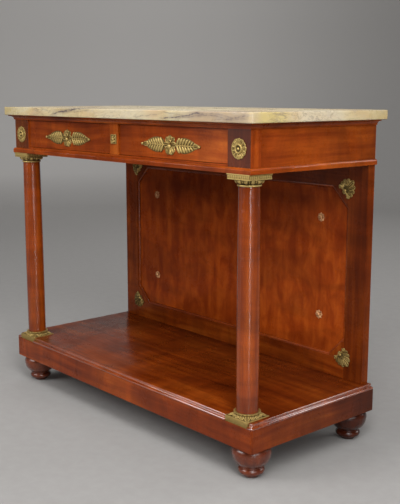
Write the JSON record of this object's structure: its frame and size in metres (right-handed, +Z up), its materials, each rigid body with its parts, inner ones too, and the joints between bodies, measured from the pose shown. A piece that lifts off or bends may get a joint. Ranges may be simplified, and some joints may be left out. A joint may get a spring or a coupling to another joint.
{
  "type": "pier table",
  "caption": "Rectangular pier table with a veined marble top, a frieze of drawers, turned front columns, a panelled back and a plinth shelf on turned feet, with gilt bronze mounts.",
  "frame": {"origin": "on the floor, under the middle of the marble slab", "axes": "+X to the right along the front, +Y to the back, +Z up"},
  "size_m": [1.15, 0.5068, 0.92],
  "materials": {
    "marble": "polished, veined",
    "mahogany": "French polished",
    "dark_mahogany": "dark stained and polished",
    "oak": "planed, unpolished",
    "gilt_bronze": "cast, chased and fire gilt",
    "lock_steel": "filed"
  },
  "bodies": {
    "table": {"back_bottom_rail": "mahogany", "back_field_bead": "mahogany", "back_panel": "mahogany", "back_spandrels": "mahogany", "back_stile_left": "mahogany", "back_stile_right": "mahogany", "back_top_rail": "mahogany", "capital_left": "gilt_bronze", "capital_right": "gilt_bronze", "centre_patera": "gilt_bronze", "column_base_left": "gilt_bronze", "column_base_right": "gilt_bronze", "column_left": "mahogany", "column_right": "mahogany", "corner_palmettes": "gilt_bronze", "cornice_front": "mahogany", "cornice_left": "mahogany", "cornice_right": "mahogany", "drawer_kickers": "oak", "drawer_runners": "oak", "foot_back_left": "dark_mahogany", "foot_back_right": "dark_mahogany", "foot_front_left": "dark_mahogany", "foot_front_right": "dark_mahogany", "frieze_back_rail": "oak", "frieze_band_front": "mahogany", "frieze_band_left": "mahogany", "frieze_band_right": "mahogany", "frieze_bottom_rail": "mahogany", "frieze_centre_stile": "mahogany", "frieze_post_left": "mahogany", "frieze_post_right": "mahogany", "frieze_side_left": "mahogany", "frieze_side_right": "mahogany", "frieze_top_rail": "oak", "marble_top": "marble", "plinth_back": "oak", "plinth_corner_blocks": "oak", "plinth_front": "mahogany", "plinth_shelf": "mahogany", "plinth_side_left": "mahogany", "plinth_side_right": "mahogany", "post_rosettes": "gilt_bronze", "star_rosettes": "gilt_bronze"},
    "left_drawer": {"drawer_front_left": "mahogany", "drawer_inner_side_left": "oak", "drawer_outer_side_left": "oak", "drawer_back_left": "oak", "drawer_bottom_left": "oak", "drawer_mount_left": "gilt_bronze", "lock_case_left": "lock_steel"},
    "left_bolt": {"lock_bolt_left": "lock_steel"},
    "right_drawer": {"drawer_front_right": "mahogany", "drawer_inner_side_right": "oak", "drawer_outer_side_right": "oak", "drawer_back_right": "oak", "drawer_bottom_right": "oak", "drawer_mount_right": "gilt_bronze", "lock_case_right": "lock_steel"},
    "right_bolt": {"lock_bolt_right": "lock_steel"}
  },
  "joints": [
    {"name": "left_drawer_slide", "type": "slide", "parent": "table", "child": "left_drawer", "axis": [0, -1, 0], "range_m": [0, 0.3]},
    {"name": "left_bolt_throw", "type": "slide", "parent": "left_drawer", "child": "left_bolt", "axis": [0, 0, 1], "range_m": [0, 0.009]},
    {"name": "right_drawer_slide", "type": "slide", "parent": "table", "child": "right_drawer", "axis": [0, -1, 0], "range_m": [0, 0.3]},
    {"name": "right_bolt_throw", "type": "slide", "parent": "right_drawer", "child": "right_bolt", "axis": [0, 0, 1], "range_m": [0, 0.009]}
  ]
}
